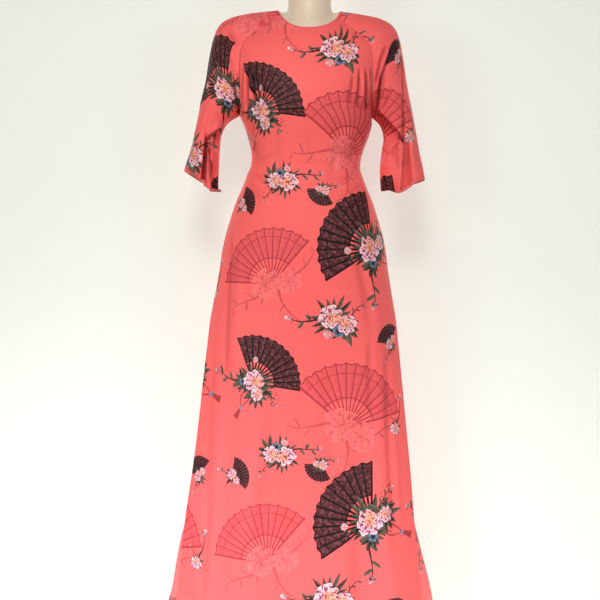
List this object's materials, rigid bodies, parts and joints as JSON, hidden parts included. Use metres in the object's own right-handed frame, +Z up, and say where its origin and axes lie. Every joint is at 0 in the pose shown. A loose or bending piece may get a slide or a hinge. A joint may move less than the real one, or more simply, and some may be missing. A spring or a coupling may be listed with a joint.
{
  "type": "ao dai on a dress form",
  "caption": "Long coral ao dai with raglan three-quarter sleeves and side slits, worn by a limbless dress form on a pole and round foot.",
  "frame": {"origin": "middle of the foot's underside, on the floor", "axes": "+Z up; the front of the dress faces -Y; +X is the side on the right for someone facing the front"},
  "size_m": [0.6038, 0.33, 1.485],
  "materials": {
    "printed_crepe": "coral crepe with a print of folding fans and peony sprays, soft sheen",
    "form_shell": "ivory, smooth, satin",
    "stand_metal": "satin"
  },
  "bodies": {
    "root": {"front": "printed_crepe", "back": "printed_crepe", "sleeve_left": "printed_crepe", "sleeve_right": "printed_crepe", "form_torso": "form_shell", "form_pole": "stand_metal", "form_foot": "stand_metal"}
  },
  "joints": []
}
